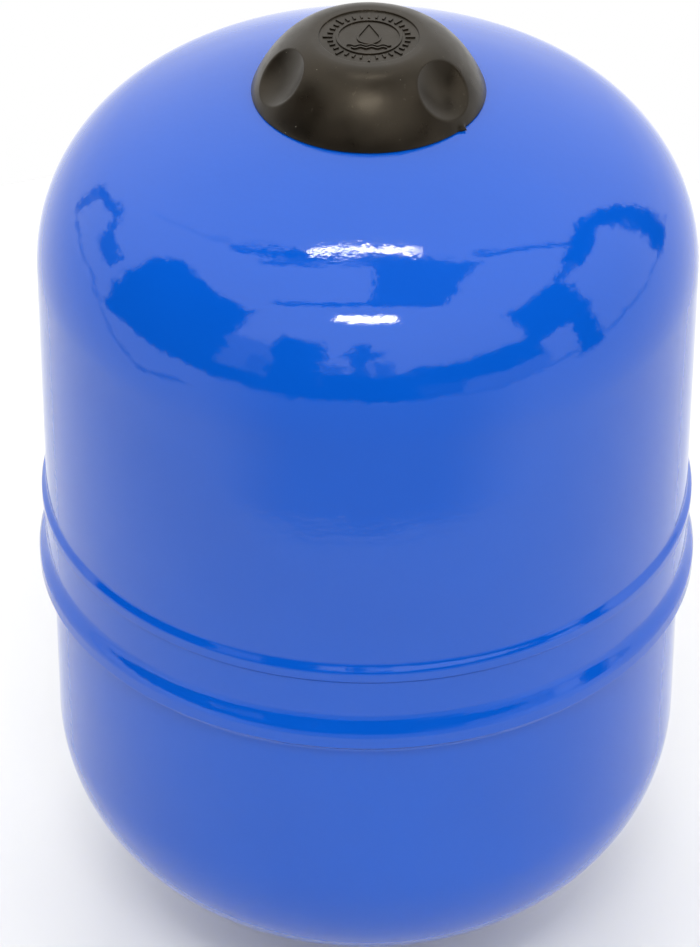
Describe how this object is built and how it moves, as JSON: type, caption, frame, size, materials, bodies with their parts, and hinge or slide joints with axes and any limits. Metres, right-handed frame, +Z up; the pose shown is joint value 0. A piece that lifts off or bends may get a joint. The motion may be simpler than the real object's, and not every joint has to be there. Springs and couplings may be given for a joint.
{
  "type": "expansion vessel",
  "caption": "Upright diaphragm expansion vessel: two dished steel shells joined at a beaded band, a screw cap over the gas valve on top and a threaded water connection below.",
  "frame": {"origin": "centre of the end face of the water connection at the bottom, which is the centre of the bottom of the bounding box", "axes": "+Z up the vessel's axis towards the gas valve and its cap, -Y towards the front"},
  "size_m": [0.206, 0.206, 0.3272],
  "materials": {
    "blue_paint": "glossy blue powder coat with slight orange peel",
    "black_plastic": "satin black moulded plastic",
    "rubber": "matt black rubber",
    "liner_plastic": "milky natural polypropylene",
    "zinc": "zinc plated steel",
    "brass": "turned brass",
    "spring_steel": "bright drawn spring wire"
  },
  "bodies": {
    "vessel": {"upper_shell": "blue_paint", "lower_shell": "blue_paint", "clench_ring": "zinc", "water_liner": "liner_plastic", "water_connection": "zinc", "port_bush": "zinc", "port_o_ring": "rubber", "valve_boss": "zinc", "valve_body": "brass", "valve_o_ring": "rubber", "core_barrel": "brass", "core_barrel_seal": "rubber", "core_spring": "spring_steel"},
    "cap_lifter": {"cap_seal": "rubber"},
    "cap": {"protective_cap": "black_plastic"},
    "valve_cap_lifter": {"valve_cap_seal": "rubber"},
    "valve_cap_turner": {"valve_cap": "black_plastic"},
    "valve_pin": {"core_pin": "brass", "core_poppet_seal": "rubber"},
    "diaphragm_web": {"diaphragm": "rubber"}
  },
  "joints": [
    {"name": "cap_lift", "type": "slide", "parent": "vessel", "child": "cap_lifter", "axis": [0, 0, 1], "range_m": [0, 0.0061]},
    {"name": "cap_turn", "type": "hinge", "parent": "cap_lifter", "child": "cap", "pos_m": [0, 0, 0.3085], "axis": [0, 0, 1], "range_deg": [0, 720]},
    {"name": "valve_cap_lift", "type": "slide", "parent": "vessel", "child": "valve_cap_lifter", "axis": [0, 0, 1], "range_m": [0, 0.00357]},
    {"name": "valve_cap_turn", "type": "hinge", "parent": "valve_cap_lifter", "child": "valve_cap_turner", "pos_m": [0, 0, 0.315], "axis": [0, 0, 1], "range_deg": [0, 1620]},
    {"name": "valve_pin_press", "type": "slide", "parent": "vessel", "child": "valve_pin", "axis": [0, 0, -1], "range_m": [0, 0.001], "stiffness_N_per_m": 2000, "springref_m": -0.0005, "deforming": ["core_spring"]},
    {"name": "diaphragm_flex", "type": "slide", "parent": "vessel", "child": "diaphragm_web", "axis": [0, 0, 1], "range_m": [0, 0.115], "deforming": ["diaphragm"]}
  ],
  "couplings": [
    {"joint": "cap_lift", "follows": "cap_turn", "m_per_rad": 0.00047746},
    {"joint": "valve_cap_turn", "follows": "valve_cap_lift", "rad_per_m": 7913.3}
  ]
}
